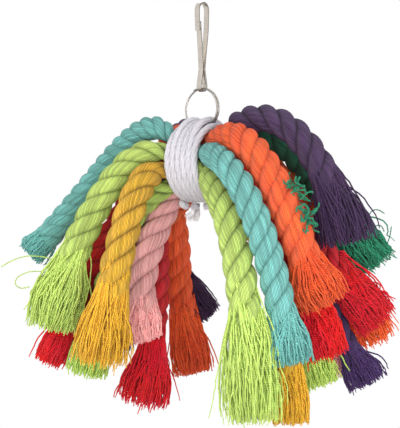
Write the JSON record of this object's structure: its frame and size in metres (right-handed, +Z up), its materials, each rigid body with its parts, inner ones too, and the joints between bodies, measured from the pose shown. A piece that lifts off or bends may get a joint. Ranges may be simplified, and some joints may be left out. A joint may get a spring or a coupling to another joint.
{
  "type": "hanging rope bird toy",
  "caption": "Hanging cage-bird toy: coloured laid cotton ropes bound at the waist by a white cord, their ends combed into tassels, on a split ring and spring clip.",
  "frame": {"origin": "inside of the clip's top bend, where a cage bar carries the toy", "axes": "+Z up; the picture looks along +Y"},
  "size_m": [0.1976, 0.1617, 0.2075],
  "materials": {
    "clip_nickel": "polished nickel plate",
    "ring_nickel": "polished nickel plate",
    "white_cotton": "laid cotton cord",
    "teal_cotton": "dyed laid cotton rope",
    "light_green_cotton": "dyed laid cotton rope",
    "yellow_cotton": "dyed laid cotton rope",
    "low_green_cotton": "dyed laid cotton rope",
    "pink_cotton": "dyed laid cotton rope",
    "crimson_cotton": "dyed laid cotton rope",
    "dark_green_cotton": "dyed laid cotton rope",
    "purple_cotton": "dyed laid cotton rope",
    "orange_cotton": "dyed laid cotton rope",
    "red_cotton": "dyed laid cotton rope",
    "low_purple_cotton": "dyed laid cotton rope",
    "low_orange_cotton": "dyed laid cotton rope"
  },
  "bodies": {
    "clip": {"clip_body": "clip_nickel"},
    "tongue": {"spring_tongue": "clip_nickel"},
    "ring": {"split_ring": "ring_nickel"},
    "bundle": {"binding_cord": "white_cotton", "binding_knot": "white_cotton", "binding_tail_front": "white_cotton", "binding_tail_back": "white_cotton", "teal_waist": "teal_cotton", "teal_right_leg": "teal_cotton", "light_green_waist": "light_green_cotton", "light_green_right_leg": "light_green_cotton", "yellow_waist": "yellow_cotton", "yellow_left_leg": "yellow_cotton", "yellow_right_leg": "yellow_cotton", "low_green_waist": "low_green_cotton", "low_green_left_leg": "low_green_cotton", "low_green_right_leg": "low_green_cotton", "pink_waist": "pink_cotton", "pink_left_leg": "pink_cotton", "pink_right_leg": "pink_cotton", "crimson_waist": "crimson_cotton", "crimson_left_leg": "crimson_cotton", "dark_green_waist": "dark_green_cotton", "dark_green_left_leg": "dark_green_cotton", "purple_waist": "purple_cotton", "purple_left_leg": "purple_cotton", "orange_waist": "orange_cotton", "orange_left_leg": "orange_cotton", "red_waist": "red_cotton", "red_left_leg": "red_cotton", "red_right_leg": "red_cotton", "low_purple_waist": "low_purple_cotton", "low_purple_left_leg": "low_purple_cotton", "low_purple_right_leg": "low_purple_cotton", "low_orange_waist": "low_orange_cotton", "low_orange_left_leg": "low_orange_cotton", "low_orange_right_leg": "low_orange_cotton"},
    "teal_left_leg": {"teal_left_leg": "teal_cotton"},
    "light_green_left_leg": {"light_green_left_leg": "light_green_cotton"},
    "purple_right_leg": {"purple_right_leg": "purple_cotton"},
    "orange_right_leg": {"orange_right_leg": "orange_cotton"},
    "dark_green_right_leg": {"dark_green_right_leg": "dark_green_cotton"},
    "crimson_right_leg": {"crimson_right_leg": "crimson_cotton"}
  },
  "joints": [
    {"name": "gate_flex", "type": "hinge", "parent": "clip", "child": "tongue", "pos_m": [-0.00043, -0.00055, -0.033], "axis": [-0.788, 0.6157, 0], "range_deg": [0, 8], "stiffness_Nm_per_rad": 0.4, "springref_deg": -1.72},
    {"name": "ring_swing", "type": "hinge", "parent": "clip", "child": "ring", "pos_m": [0, 0, -0.0414], "axis": [0.788, -0.6157, 0], "range_deg": [-30, 30]},
    {"name": "bundle_sway", "type": "hinge", "parent": "ring", "child": "bundle", "pos_m": [0, 0, -0.05252], "axis": [-0.6157, -0.788, 0], "range_deg": [-18, 18]},
    {"name": "teal_left_lift", "type": "hinge", "parent": "bundle", "child": "teal_left_leg", "pos_m": [-0.01326, 0.00235, -0.06883], "axis": [0.3538, 0.9353, 0], "range_deg": [0, 20]},
    {"name": "light_green_left_lift", "type": "hinge", "parent": "bundle", "child": "light_green_left_leg", "pos_m": [-0.01668, -0.00202, -0.07544], "axis": [0.1318, 0.9913, 0], "range_deg": [0, 12]},
    {"name": "purple_right_lift", "type": "hinge", "parent": "bundle", "child": "purple_right_leg", "pos_m": [0.01073, -0.0056, -0.06733], "axis": [-0.4564, -0.8898, 0], "range_deg": [0, 22]},
    {"name": "orange_right_lift", "type": "hinge", "parent": "bundle", "child": "orange_right_leg", "pos_m": [0.00549, -0.0123, -0.06883], "axis": [-0.555, -0.8318, 0], "range_deg": [0, 30]},
    {"name": "dark_green_right_lift", "type": "hinge", "parent": "bundle", "child": "dark_green_right_leg", "pos_m": [0.01533, 0.00029, -0.07164], "axis": [0.1069, -0.9943, 0], "range_deg": [0, 20]},
    {"name": "crimson_right_lift", "type": "hinge", "parent": "bundle", "child": "crimson_right_leg", "pos_m": [0.01156, -0.00454, -0.07679], "axis": [-0.0452, -0.999, 0], "range_deg": [0, 16]}
  ]
}
